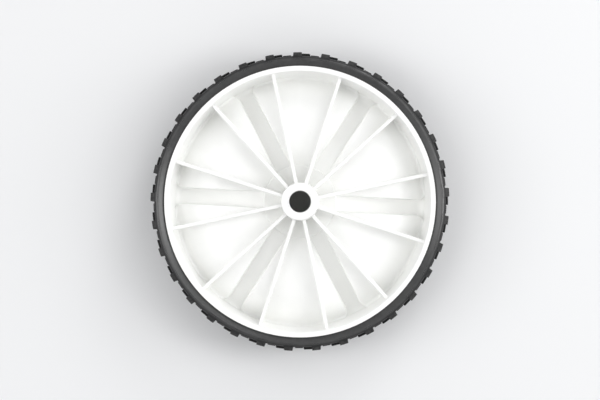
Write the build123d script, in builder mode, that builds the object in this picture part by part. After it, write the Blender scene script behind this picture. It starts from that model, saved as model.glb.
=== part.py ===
from build123d import *
import os
from math import asin, atan2, cos, degrees, radians, sin, sqrt, tan

# Wheel of a small garden machine: a white plastic moulding with a black rubber tyre.
# Millimetres. The wheel lies on its outboard face: the axle runs along +Z, z = 0 is the
# plane it rests on, and the ribbed inboard side looks up. One hollow spoke points along +X.

# ---- driving dimensions -------------------------------------------------------------
# whole wheel
wheel_d = 177.8            # over the tread blocks
rim_width = 38.1           # outboard lip to inboard lip

# hub and bore
bore_d = 12.9              # running fit on a 12.7 mm axle
bore_chamfer = 0.4
hub_d = 22.2               # at its inboard end
hub_base_d = 23.4          # at the flange
hub_z0 = 0.6               # outboard end of the hub
hub_length = 38.1
hub_edge = 0.4

# rim
seat_r = 80.6              # the tyre's seat, and the outer edge of both lips
lip_in_r = 77.6            # inner wall, carried up to the lip's plane
lip_edge = 0.5             # rounding of the lip's inner edge
wall_foot_r = 75.0         # inner wall at its foot
wall_foot_z = 6.6
front_lip_r = 77.9         # inner wall at the outboard lip
groove_z0, groove_z1 = 13.05, 25.05   # groove that takes the tyre's key
groove_depth = 1.8
groove_flare = 1.2

# domed web between the spokes
crest_r, crest_z = 49.0, 26.5
dome_in_z = 21.5           # where the dome meets the flange
dome_out_r, dome_out_z = 76.0, 10.6   # where it would run into the rim
cove_r, cove_bend = 73.3, 1.6         # cove between the dome's foot and the rim's inner wall
web_t = 2.5

# flange round the hub, and the round boss under it, which is hollow from the outboard side
flange_r, flange_z = 21.9, 22.4
flange_t = 2.5
flange_edge = 0.7
boss_in_r = 21.0           # inside of the boss's outer wall
boss_ledge_z = 18.4
boss_edge = 1.2
boss_r = 24.2
boss_z0 = 16.0
pocket_r = 19.8            # inside of the wall that closes the spokes' inner ends

# hollow spokes
spokes = 6
channel_w = 9.8            # inside, at the level of the crest
channel_floor_z = (20.2, 8.3)   # at the flange and at the rim: the floor falls outwards
spoke_w = 14.4             # outside, at the outboard face
spoke_t = 2.5              # floor of a channel to the spoke's outboard face
spoke_draft = 1.5
spoke_edge = 1.6           # rounding of the outboard edges
channel_ramp = 4.5         # bend where the channel's floor runs up into the rim
channel_bend, channel_flare = 6.5, 4.5   # flare of the inside where it meets the rim
spoke_bend, spoke_flare = 8.0, 5.5       # flare of the outside
channel_edge = 0.8         # rounding between dome and channel

# ribs
ribs = 12
rib_t = 2.0                # at the top edge
rib_top_z = 35.2
rib_draft = 0.8
rib_first = 15.0           # degrees from +X

# tyre
casing_r = 86.7
side_z0, side_z1 = 0.4, 37.7          # crests of the outboard and inboard sidewalls
side_r = 84.0              # radius of the crests, where the shoulders begin
side_fall = 1.0            # fall of a sidewall from its crest to the rim

# tread blocks: three rows, each turned against the next
pitches = 33
block_w = 4.95             # along the tread, at the top
block_draft = 7.0
block_corner = 0.6
block_top_edge = 0.35
block_foot_r = 84.9        # buried foot of a block
shoulder_bevel = 0.9       # bevel where the outer rows turn on to the shoulder
shoulder_slope = 1.45      # fall of a block's shoulder end towards the tread
rows = (                   # (angle of the first block, outboard end, inboard end)
    (6.65, 25.4, 38.05),   # inboard row
    (3.38, 13.6, 24.5),    # middle row
    (10.80, 0.05, 12.7),   # outboard row
)

tread_r = wheel_d / 2
hub_top = hub_z0 + hub_length
eps = 0.5


def on_dome(r, drop):
    """Height of the dome's upper side, lowered square to itself by drop, at radius r."""
    if r < crest_r:
        run, fall = crest_r - boss_in_r, crest_z - dome_in_z
    else:
        run, fall = dome_out_r - crest_r, crest_z - dome_out_z
    big = (run * run + fall * fall) / (2 * fall)
    return crest_z - big + sqrt((big - drop) ** 2 - (r - crest_r) ** 2)


floor_fall = (channel_floor_z[0] - channel_floor_z[1]) / (75.0 - flange_r)


def on_floor(drop):
    """Plane of a channel's floor, lowered by drop."""
    return Plane(
        origin=(flange_r, 0, channel_floor_z[0] - drop), x_dir=(1, 0, -floor_fall), z_dir=(floor_fall, 0, 1)
    )


def along_channel(edge):
    """True for an edge that runs along a channel on the dome's upper side."""
    m = edge @ 0.5
    r = sqrt(m.X ** 2 + m.Y ** 2)
    if not boss_in_r < r < dome_out_r or abs(m.Z - on_dome(r, 0)) > 0.05:
        return False
    swing = (degrees(atan2(m.Y, m.X)) + 30) % 60 - 30
    return channel_w / 2 - 1.2 < abs(r * sin(radians(swing))) < channel_w / 2 + channel_flare


# ---- hollow spoke, as a solid beam under the dome -----------------------------------
# Its plan is straight-sided and flares by an arc where it runs into the rim.
with BuildPart() as beam:
    low = channel_floor_z[1] - spoke_t - 2.0
    spread = (crest_z - low) * tan(radians(spoke_draft))
    foot = 78.4
    bend_x = foot - sqrt(spoke_flare * (2 * spoke_bend - spoke_flare))
    for z, half in ((low, spoke_w / 2), (crest_z, spoke_w / 2 + spread)):
        with BuildSketch(Plane.XY.offset(z)):
            with BuildLine():
                Polyline((bend_x, -half), (10, -half), (10, half), (bend_x, half))
                TangentArc((bend_x, half), (foot, half + spoke_flare), tangent=(1, 0))
                Line((foot, half + spoke_flare), (foot, -half - spoke_flare))
                TangentArc((bend_x, -half), (foot, -half - spoke_flare), tangent=(1, 0))
            make_face()
    loft(ruled=True)
    split(bisect_by=on_floor(spoke_t), keep=Keep.TOP)
    front = [f for f in beam.faces() if f.normal_at().Z < -0.9][0]
    fillet([e for e in front.edges() if abs(e.center().Y) > 3], spoke_edge)
    with BuildSketch(Plane.XZ):
        with BuildLine():
            Polyline(
                (boss_r - 1.5, on_dome(boss_r - 1.5, 1.2)),
                (boss_r - 1.5, low - eps),
                (78.4, low - eps),
                (78.4, 8.6),
                (dome_out_r, on_dome(dome_out_r, 1.2)),
            )
            TangentArc(
                (crest_r, crest_z - 1.2), (dome_out_r, on_dome(dome_out_r, 1.2)), tangent=(1, 0)
            )
            TangentArc(
                (crest_r, crest_z - 1.2), (boss_r - 1.5, on_dome(boss_r - 1.5, 1.2)), tangent=(-1, 0)
            )
        make_face()
    revolve(axis=Axis.Z, mode=Mode.INTERSECT)

# ---- the inside of a spoke ----------------------------------------------------------
with BuildPart() as channel:
    top = crest_z + 2.0
    low = channel_floor_z[1] - 2.0
    spread = (top - low) * tan(radians(spoke_draft))
    start = boss_in_r - 4.0
    for z, half, foot in ((low, channel_w / 2 - spread, 75.6), (top, channel_w / 2, 77.6)):
        bend_x = foot - sqrt(channel_flare * (2 * channel_bend - channel_flare))
        with BuildSketch(Plane.XY.offset(z)):
            with BuildLine():
                Polyline((bend_x, -half), (start, -half), (start, half), (bend_x, half))
                TangentArc((bend_x, half), (foot, half + channel_flare), tangent=(1, 0))
                Line((foot, half + channel_flare), (foot, -half - channel_flare))
                TangentArc((bend_x, -half), (foot, -half - channel_flare), tangent=(1, 0))
            make_face()
    loft(ruled=True)
    split(bisect_by=on_floor(0), keep=Keep.TOP)
    floor = [f for f in channel.faces() if f.normal_at().Z < -0.9][0]
    fillet(floor.edges().sort_by(Axis.X)[-1], channel_ramp)

# ---- ribs ---------------------------------------------------------------------------
with BuildPart() as rib:
    with BuildSketch(Plane.XY.offset(rib_top_z)):
        with Locations((8.5, 0)):
            Rectangle(70.4, rib_t, align=(Align.MIN, Align.CENTER))
    extrude(amount=-(rib_top_z - 5.8), taper=-rib_draft)
    fillet(rib.faces().sort_by(Axis.Z)[-1].edges().filter_by(Axis.X), 0.35)
    with BuildSketch(Plane.XZ):
        with BuildLine():
            Polyline(
                (dome_out_r + 2.4, rib_top_z + eps),
                (8.0, rib_top_z + eps),
                (8.0, flange_z - 1.3),
                (boss_r - 0.6, flange_z - 1.3),
                (boss_r - 0.6, on_dome(boss_r - 0.6, 1.2)),
            )
            TangentArc(
                (crest_r, crest_z - 1.2),
                (boss_r - 0.6, on_dome(boss_r - 0.6, 1.2)),
                tangent=(-1, 0),
            )
            TangentArc(
                (crest_r, crest_z - 1.2), (dome_out_r, on_dome(dome_out_r, 1.2)), tangent=(1, 0)
            )
            Polyline(
                (dome_out_r, on_dome(dome_out_r, 1.2)),
                (dome_out_r + 2.4, on_dome(dome_out_r, 1.2)),
                (dome_out_r + 2.4, rib_top_z + eps),
            )
        make_face()
    revolve(axis=Axis.Z, mode=Mode.INTERSECT)

# the cove at the dome's foot: it leaves the dome smoothly and runs up into the rim's wall
cove_z = on_dome(cove_r, 0)
dome_bend = ((dome_out_r - crest_r) ** 2 + (crest_z - dome_out_z) ** 2) / (2 * (crest_z - dome_out_z))
cove_fall = asin((cove_r - crest_r) / dome_bend)
cove_way = (cos(cove_fall), -sin(cove_fall))
cove_end = (
    cove_r + cove_bend * (sin(cove_fall) + sin(radians(75))),
    cove_z + cove_bend * (cos(cove_fall) - cos(radians(75))),
)

# ---- wheel body ---------------------------------------------------------------------
with BuildPart() as wheel_body:
    # domed web and the boss's outer wall
    with BuildSketch(Plane.XZ) as web_section:
        with BuildLine():
            TangentArc((crest_r, crest_z), (boss_in_r, dome_in_z), tangent=(-1, 0))
            TangentArc((crest_r, crest_z), (cove_r, cove_z), tangent=(1, 0))
            TangentArc((cove_r, cove_z), cove_end, tangent=cove_way)
            Polyline(
                (boss_in_r, dome_in_z),
                (boss_in_r - 0.5, boss_ledge_z),
                (hub_d / 2 - 1.5, boss_ledge_z),
                (hub_d / 2 - 1.5, boss_z0),
                (boss_r - 0.6, boss_z0),
                (boss_r, on_dome(boss_r, web_t)),
            )
            TangentArc(
                (crest_r, crest_z - web_t), (boss_r, on_dome(boss_r, web_t)), tangent=(-1, 0)
            )
            TangentArc(
                (crest_r, crest_z - web_t),
                (dome_out_r, on_dome(dome_out_r, web_t)),
                tangent=(1, 0),
            )
            Polyline((dome_out_r, on_dome(dome_out_r, web_t)), (cove_end[0], dome_out_z - 2), cove_end)
        make_face()
        fillet(web_section.vertices().sort_by_distance((boss_in_r, dome_in_z))[0], boss_edge)
        fillet(web_section.vertices().sort_by_distance((boss_r - 0.6, boss_z0))[0], spoke_edge)
    revolve(axis=Axis.Z)
    with PolarLocations(0, spokes):
        add(beam.part)
        add(channel.part, mode=Mode.SUBTRACT)
    # the dome's edges along the channels are eased
    fillet([e for e in wheel_body.edges() if along_channel(e)], channel_edge)

    # the boss is hollow from the outboard side
    with BuildSketch(Plane.XZ):
        with BuildLine():
            Polyline(
                (0, boss_z0 - 3),
                (pocket_r + 0.5, boss_z0 - 3),
                (pocket_r, flange_z - flange_t),
                (0, flange_z - flange_t),
                (0, boss_z0 - 3),
            )
        make_face()
    revolve(axis=Axis.Z, mode=Mode.SUBTRACT)

    # flange, and the round wall under it that closes the spokes' inner ends
    with BuildSketch(Plane.XZ) as flange_section:
        with BuildLine():
            Polyline(
                (hub_d / 2 - 1.5, flange_z),
                (flange_r, flange_z),
                (flange_r + 0.4, boss_z0 + 0.7),
                (pocket_r + 0.5 * (flange_z - flange_t - boss_z0 - 0.7) / (flange_z - flange_t - boss_z0 + 3), boss_z0 + 0.7),
                (pocket_r, flange_z - flange_t),
                (hub_d / 2 - 1.5, flange_z - flange_t),
                (hub_d / 2 - 1.5, flange_z),
            )
        make_face()
        fillet(flange_section.vertices().sort_by_distance((flange_r, flange_z))[0], flange_edge)
    revolve(axis=Axis.Z)

    # rim
    with BuildSketch(Plane.XZ) as rim_section:
        with BuildLine():
            Polyline(
                (seat_r, 0),
                (seat_r, groove_z0),
                (seat_r - groove_depth, groove_z0 + groove_flare),
                (seat_r - groove_depth, groove_z1 - groove_flare),
                (seat_r, groove_z1),
                (seat_r, rim_width),
                (lip_in_r, rim_width),
                (wall_foot_r, wall_foot_z),
                (wall_foot_r, wall_foot_z - 0.8),
                (front_lip_r, 0),
                (seat_r, 0),
            )
        make_face()
        fillet(
            rim_section.vertices().sort_by_distance((lip_in_r, rim_width))[0], lip_edge
        )
        fillet(
            rim_section.vertices().sort_by_distance((front_lip_r, 0))[0], lip_edge
        )
    revolve(axis=Axis.Z)

    # hub
    with BuildSketch(Plane.XZ) as hub_section:
        with BuildLine():
            Polyline(
                (bore_d / 2 - 1.5, hub_z0),
                (hub_base_d / 2, hub_z0),
                (hub_base_d / 2, flange_z),
                (hub_d / 2, hub_top),
                (bore_d / 2 - 1.5, hub_top),
                (bore_d / 2 - 1.5, hub_z0),
            )
        make_face()
        fillet(hub_section.vertices().sort_by_distance((hub_d / 2, hub_top))[0], hub_edge)
        fillet(hub_section.vertices().sort_by_distance((hub_base_d / 2, hub_z0))[0], hub_edge)
    revolve(axis=Axis.Z)

    # ribs from hub to rim
    with PolarLocations(0, ribs, start_angle=rib_first):
        add(rib.part)

    # bore, with its mouths eased
    with BuildSketch(Plane.XZ):
        with BuildLine():
            Polyline(
                (0, hub_z0 - 1),
                (bore_d / 2 + bore_chamfer + 1, hub_z0 - 1),
                (bore_d / 2, hub_z0 + bore_chamfer),
                (bore_d / 2, hub_top - bore_chamfer),
                (bore_d / 2 + bore_chamfer + 1, hub_top + 1),
                (0, hub_top + 1),
                (0, hub_z0 - 1),
            )
        make_face()
    revolve(axis=Axis.Z, mode=Mode.SUBTRACT)

# ---- tread blocks -------------------------------------------------------------------
row_blocks = []
for first, z0, z1 in rows:
    with BuildPart() as block:
        # a drafted block standing off the tyre, square to the axle
        face = Plane(origin=(tread_r + 1, 0, (z0 + z1) / 2), x_dir=(0, 1, 0), z_dir=(1, 0, 0))
        with BuildSketch(face):
            over = 3.0 if z1 > side_z1 - 1 or z0 < side_z0 + 1 else 0.0
            shift = over / 2 * (1 if z1 > side_z1 - 1 else -1)
            with Locations((0, shift)):
                RectangleRounded(block_w - 0.25, z1 - z0 + over, block_corner)
        extrude(amount=-(tread_r + 1 - block_foot_r), taper=-block_draft)
        # trimmed to the round of the tread and to the shoulder
        with BuildSketch(Plane.XZ):
            low, high = z0 - 1.0, z1 + 1.0
            outline = [(tread_r, low), (tread_r, high), (block_foot_r - 1, high), (block_foot_r - 1, low)]
            if z1 > side_z1 - 1:
                outline[1:3] = [
                    (tread_r, z1 - shoulder_slope - shoulder_bevel),
                    (tread_r - shoulder_bevel, z1 - shoulder_slope),
                    (block_foot_r - 1, z1 + 0.15),
                ]
            if z0 < side_z0 + 1:
                outline[0:1] = [
                    (tread_r - shoulder_bevel, z0 + shoulder_slope),
                    (tread_r, z0 + shoulder_slope + shoulder_bevel),
                ]
                outline[-1] = (block_foot_r - 1, z0 - 0.15)
            with BuildLine():
                Polyline(*outline, close=True)
            make_face()
        revolve(axis=Axis.Z, mode=Mode.INTERSECT)
        fillet(
            block.faces().filter_by(GeomType.CYLINDER).sort_by(Axis.X)[-1].edges(), block_top_edge
        )
    row_blocks.append((first, block.part))

# ---- tyre ---------------------------------------------------------------------------
with BuildPart() as tyre:
    shoulder = casing_r - side_r
    with BuildSketch(Plane.XZ) as tyre_section:
        with BuildLine():
            TangentArc((side_r, side_z0), (seat_r, side_z0 + side_fall), tangent=(-1, 0))
            TangentArc((side_r, side_z0), (casing_r, side_z0 + shoulder), tangent=(1, 0))
            Line((casing_r, side_z0 + shoulder), (casing_r, side_z1 - shoulder))
            TangentArc((side_r, side_z1), (casing_r, side_z1 - shoulder), tangent=(1, 0))
            TangentArc((side_r, side_z1), (seat_r, side_z1 - side_fall), tangent=(-1, 0))
            Polyline(
                (seat_r, side_z1 - side_fall),
                (seat_r, groove_z1),
                (seat_r - groove_depth, groove_z1 - groove_flare),
                (seat_r - groove_depth, groove_z0 + groove_flare),
                (seat_r, groove_z0),
                (seat_r, side_z0 + side_fall),
            )
        make_face()
    revolve(axis=Axis.Z)
    for first, solid in row_blocks:
        with PolarLocations(0, pitches, start_angle=first):
            add(solid)

# ---- write the pieces ---------------------------------------------------------------
os.makedirs("parts", exist_ok=True)
wheel_body.part.label = "wheel_body"
tyre.part.label = "tyre"
export_step(wheel_body.part, "parts/wheel_body.step")
export_step(tyre.part, "parts/tyre.step")
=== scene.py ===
# A wheel for a small push mower: white moulded plastic body, black rubber tyre, lying on its outboard side.
import math

import bpy
from mathutils import Matrix, Vector

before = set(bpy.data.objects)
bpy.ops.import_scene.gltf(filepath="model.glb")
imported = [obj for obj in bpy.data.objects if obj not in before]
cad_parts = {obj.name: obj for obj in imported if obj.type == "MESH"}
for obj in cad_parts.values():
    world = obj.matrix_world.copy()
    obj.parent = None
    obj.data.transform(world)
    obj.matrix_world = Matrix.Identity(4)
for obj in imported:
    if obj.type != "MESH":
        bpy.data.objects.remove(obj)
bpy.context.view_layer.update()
scene = bpy.context.scene
MM = 0.001


# ---------------------------------------------------------------- node helpers
class Tree:
    """A material's node tree, with short calls for the nodes used here."""

    def __init__(self, name):
        self.mat = bpy.data.materials.new(name)
        self.mat.use_nodes = True
        self.nodes, self.links = self.mat.node_tree.nodes, self.mat.node_tree.links
        self.nodes.clear()
        self.out = self.nodes.new("ShaderNodeOutputMaterial")
        self.shader = self.nodes.new("ShaderNodeBsdfPrincipled")
        self.links.new(self.shader.outputs[0], self.out.inputs["Surface"])
        self.place = self.nodes.new("ShaderNodeTexCoord").outputs["Object"]

    def put(self, value, socket):
        if isinstance(value, bpy.types.NodeSocket):
            self.links.new(value, socket)
        else:
            socket.default_value = value

    def noise(self, scale, detail=2.0, rough=0.5, place=None, distortion=0.0):
        n = self.nodes.new("ShaderNodeTexNoise")
        self.put(place or self.place, n.inputs["Vector"])
        n.inputs["Scale"].default_value = scale
        n.inputs["Detail"].default_value = detail
        n.inputs["Roughness"].default_value = rough
        n.inputs["Distortion"].default_value = distortion
        return n.outputs["Fac"]

    def math(self, op, a, b=0.0, c=0.0, clamp=False):
        n = self.nodes.new("ShaderNodeMath")
        n.operation, n.use_clamp = op, clamp
        for v, s in zip((a, b, c), n.inputs):
            self.put(v, s)
        return n.outputs[0]

    def span(self, value, lo, hi, to_lo=0.0, to_hi=1.0, smooth=True):
        n = self.nodes.new("ShaderNodeMapRange")
        n.interpolation_type = "SMOOTHSTEP" if smooth else "LINEAR"
        for v, k in ((value, "Value"), (lo, "From Min"), (hi, "From Max"), (to_lo, "To Min"), (to_hi, "To Max")):
            self.put(v, n.inputs[k])
        return n.outputs[0]

    def mix(self, fac, a, b):
        n = self.nodes.new("ShaderNodeMix")
        n.data_type = "RGBA"
        self.put(fac, n.inputs[0])
        self.put(a, n.inputs[6])
        self.put(b, n.inputs[7])
        return n.outputs[2]

    def split(self, vector):
        n = self.nodes.new("ShaderNodeSeparateXYZ")
        self.put(vector, n.inputs[0])
        return n.outputs

    def join(self, x, y, z):
        n = self.nodes.new("ShaderNodeCombineXYZ")
        for v, s in zip((x, y, z), n.inputs):
            self.put(v, s)
        return n.outputs[0]

    def bump(self, height, strength, distance, normal=None):
        n = self.nodes.new("ShaderNodeBump")
        n.inputs["Strength"].default_value = strength
        n.inputs["Distance"].default_value = distance
        self.put(height, n.inputs["Height"])
        if normal is not None:
            self.put(normal, n.inputs["Normal"])
        return n.outputs[0]


def polar(t):
    """Radius from the axle (m), turn round it (radians) and height (m), as sockets."""
    x, y, z = t.split(t.place)[:3]
    r = t.math("SQRT", t.math("ADD", t.math("MULTIPLY", x, x), t.math("MULTIPLY", y, y)))
    return r, t.math("ARCTAN2", y, x), z


# ---------------------------------------------------------------- white moulded plastic
def white_plastic():
    t = Tree("white_plastic")
    r, turn, z = polar(t)
    # the melt runs out from the hub: very faint streaks along the radius, and slow clouding
    along = t.join(t.math("MULTIPLY", r, 9.0), t.math("MULTIPLY", t.math("SINE", turn), 2.4), t.math("MULTIPLY", t.math("COSINE", turn), 2.4))
    streak = t.noise(3.2, 4.0, 0.55, along, 0.4)
    cloud = t.noise(34.0, 3.0, 0.5)
    speck = t.span(t.noise(900.0, 1.0, 0.4), 0.735, 0.775)
    tone = t.math("ADD", t.math("MULTIPLY", streak, 0.55), t.math("MULTIPLY", cloud, 0.45))
    colour = t.mix(t.span(tone, 0.33, 0.67), (0.920, 0.922, 0.909, 1), (0.942, 0.944, 0.934, 1))
    colour = t.mix(t.math("MULTIPLY", speck, 0.10), colour, (0.55, 0.53, 0.48, 1))
    # painted shade: the bore's wall is greyed, with a little random variation, so that the bore looks dark inside
    bore_shade = t.math("MULTIPLY", t.span(r, 0.0066, 0.00648), t.span(t.noise(260.0, 3.0, 0.6), 0.25, 0.6, 0.80, 0.95))
    colour = t.mix(bore_shade, colour, (0.62, 0.62, 0.605, 1))
    t.put(colour, t.shader.inputs["Base Color"])
    # semi-gloss, a little duller where the mould was less polished
    t.put(t.span(t.math("ADD", t.math("MULTIPLY", cloud, 0.6), t.math("MULTIPLY", streak, 0.4)), 0.3, 0.7, 0.30, 0.42), t.shader.inputs["Roughness"])
    grain = t.bump(t.noise(2600.0, 2.0, 0.6), 0.10, 0.00004)
    wave = t.bump(t.noise(85.0, 2.0, 0.5), 0.12, 0.0004, grain)
    t.put(wave, t.shader.inputs["Normal"])
    t.shader.inputs["IOR"].default_value = 1.49
    t.shader.inputs["Specular IOR Level"].default_value = 0.5
    return t.mat


# ---------------------------------------------------------------- black moulded rubber
def tyre_rubber():
    t = Tree("tyre_rubber")
    r, turn, z = polar(t)
    way = t.nodes.new("ShaderNodeNewGeometry").outputs["Normal"]
    ends = t.span(t.math("ABSOLUTE", t.split(way)[2]), 0.45, 0.75)     # faces that look along the axle
    mottle = t.noise(420.0, 4.0, 0.62)
    patch = t.noise(60.0, 3.0, 0.5)
    tone = t.math("ADD", t.math("MULTIPLY", mottle, 0.6), t.math("MULTIPLY", patch, 0.4))
    colour = t.mix(t.span(tone, 0.35, 0.65), (0.012, 0.012, 0.0125, 1), (0.026, 0.026, 0.0265, 1))
    # painted shade: faces deep in the tread, between the rows, that look along the axle are coloured near black
    middle = t.math("ABSOLUTE", t.math("SUBTRACT", z, 0.01905))
    deep_shade = t.math("MULTIPLY", t.span(r, 0.0856, 0.0862), t.math("MULTIPLY", ends, t.span(middle, 0.0150, 0.0130)))
    colour = t.mix(deep_shade, colour, (0.004, 0.004, 0.0045, 1))
    # pale flecks on the shoulders and on the outer faces of the tread blocks: partly dust held there, partly a
    # painted highlight for the sheen these faces catch
    fleck = t.span(t.noise(700.0, 4.0, 0.6), 0.36, 0.62)
    face = t.span(r, 0.0878, 0.0888)
    shoulder = t.math("MULTIPLY", t.span(r, 0.0864, 0.0869), t.span(middle, 0.0150, 0.0165))
    dust_and_sheen = t.math("MULTIPLY", t.math("MAXIMUM", t.math("MULTIPLY", face, 0.5), shoulder), fleck)
    colour = t.mix(t.math("MULTIPLY", dust_and_sheen, 0.24), colour, (0.125, 0.124, 0.122, 1))
    t.put(colour, t.shader.inputs["Base Color"])
    # dull rubber, a little rougher on the worn tread
    shine = t.span(tone, 0.3, 0.7, 0.29, 0.42)
    t.put(t.math("ADD", shine, t.math("MULTIPLY", t.span(r, 0.0850, 0.0870), 0.10)), t.shader.inputs["Roughness"])
    # the moulded skin of the sidewalls keeps its gloss as far as the shoulder
    t.put(t.span(r, 0.0862, 0.0850), t.shader.inputs["Coat Weight"])
    # tool marks left by the turned mould run round the sidewalls
    lines = t.math("SINE", t.math("MULTIPLY", r, 2 * math.pi / 0.00042))
    lines = t.math("MULTIPLY", t.math("ADD", t.math("MULTIPLY", lines, 0.5), 0.5), t.span(r, 0.0862, 0.0852))
    grain = t.bump(t.noise(1900.0, 3.0, 0.6), 0.35, 0.00006)
    rings = t.bump(lines, 0.12, 0.00004, grain)
    # the sidewalls roll over towards the rim
    out = t.span(r, 0.0806, 0.0842, 0.0, 1.0, smooth=False)
    roll = t.bump(t.math("MULTIPLY", out, out), 1.0, 0.0008, rings)
    t.put(roll, t.shader.inputs["Normal"])
    t.put(roll, t.shader.inputs["Coat Normal"])
    t.shader.inputs["Coat Roughness"].default_value = 0.33
    t.shader.inputs["Coat IOR"].default_value = 1.60
    t.shader.inputs["IOR"].default_value = 1.52
    t.shader.inputs["Specular IOR Level"].default_value = 0.22
    return t.mat


for node, make in (("wheel_body", white_plastic), ("tyre", tyre_rubber)):
    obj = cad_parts[node]
    mat = make()
    if obj.material_slots:
        for s in obj.material_slots:
            s.material = mat
    else:
        obj.data.materials.append(mat)


# ---------------------------------------------------------------- floor
def pale_floor():
    t = Tree("pale_floor")
    t.put(t.mix(t.noise(3.0, 2.0), (0.800, 0.804, 0.812, 1), (0.820, 0.823, 0.830, 1)), t.shader.inputs["Base Color"])
    t.put(t.bump(t.noise(1200.0, 2.0, 0.6), 0.03, 0.00005), t.shader.inputs["Normal"])
    t.shader.inputs["Roughness"].default_value = 0.6
    return t.mat


floor_mesh = bpy.data.meshes.new("floor")
S = 6.0
floor_mesh.from_pydata([(-S, -S, 0), (S, -S, 0), (S, S, 0), (-S, S, 0)], [], [(0, 1, 2, 3)])
floor = bpy.data.objects.new("floor", floor_mesh)
floor.location.z = -0.00002
floor_mesh.materials.append(pale_floor())
scene.collection.objects.link(floor)


# ---------------------------------------------------------------- light
TURN = math.radians(3.0)   # the wheel lies turned by this much under the camera


def softbox(name, azimuth, elevation, distance, size, watts, colour=(1, 1, 1)):
    """A square panel that faces the wheel. The azimuth is in the picture, anticlockwise from its right."""
    a, e = math.radians(azimuth) + TURN, math.radians(elevation)
    at = Vector((math.cos(e) * math.cos(a), math.cos(e) * math.sin(a), math.sin(e))) * distance
    data = bpy.data.lights.new(name, "AREA")
    data.shape, data.size, data.size_y = "RECTANGLE", size[0], size[1]
    data.energy, data.color = watts, colour
    lamp = bpy.data.objects.new(name, data)
    lamp.location = at
    lamp.rotation_euler = (-at).to_track_quat("-Z", "Y").to_euler()
    scene.collection.objects.link(lamp)
    return lamp


LIGHTS = [
    ("right_low", 2, 23, 1.5, (0.45, 0.45), 3.1),
    ("right_box", 2, 43, 1.5, (0.5, 0.5), 3.7),
    ("far_box", 62, 25, 1.5, (0.5, 0.5), 3.8),
    ("left_box", 180, 37, 1.5, (0.5, 0.5), 2.9),
    ("high_right", 25, 63, 1.5, (0.7, 0.7), 3.4),
    ("high_left", 188, 63, 1.5, (0.7, 0.7), 3.6),
    ("high_near", 290, 63, 1.5, (0.7, 0.7), 1.3),
    ("high_far", 118, 63, 1.5, (0.7, 0.7), 1.1),
]
for row in LIGHTS:
    softbox(*row)

world = bpy.data.worlds.new("studio")
world.use_nodes = True
sky = world.node_tree.nodes["Background"]
sky.inputs["Color"].default_value = (0.985, 0.99, 1.0, 1)
# pale room all round, dark straight above where the camera stands
up = world.node_tree.nodes.new("ShaderNodeSeparateXYZ")
world.node_tree.links.new(world.node_tree.nodes.new("ShaderNodeTexCoord").outputs["Generated"], up.inputs[0])
shade = world.node_tree.nodes.new("ShaderNodeMapRange")
shade.interpolation_type = "SMOOTHSTEP"
for key, value in (("From Min", math.cos(math.radians(34))), ("From Max", math.cos(math.radians(20))), ("To Min", 0.60), ("To Max", 0.05)):
    shade.inputs[key].default_value = value
world.node_tree.links.new(up.outputs["Z"], shade.inputs["Value"])
world.node_tree.links.new(shade.outputs[0], sky.inputs["Strength"])
scene.world = world


# ---------------------------------------------------------------- camera: straight above
camera_data = bpy.data.cameras.new("camera")
camera_data.sensor_fit, camera_data.sensor_width = "HORIZONTAL", 36.0
camera_data.lens = 1934.5 / 600 * 36.0
camera_data.clip_start, camera_data.clip_end = 0.05, 50.0
camera = bpy.data.objects.new("camera", camera_data)
camera.rotation_euler = (0, 0, TURN)
camera.location = (-math.sin(TURN) * 0.95 * MM, math.cos(TURN) * 0.95 * MM, 1186 * MM)
scene.collection.objects.link(camera)
scene.camera = camera

# white walls light each other many times over, so the light is followed further than by default
scene.cycles.max_bounces = 24
scene.cycles.diffuse_bounces = 20

scene.view_settings.view_transform = "Standard"
scene.view_settings.look = "None"
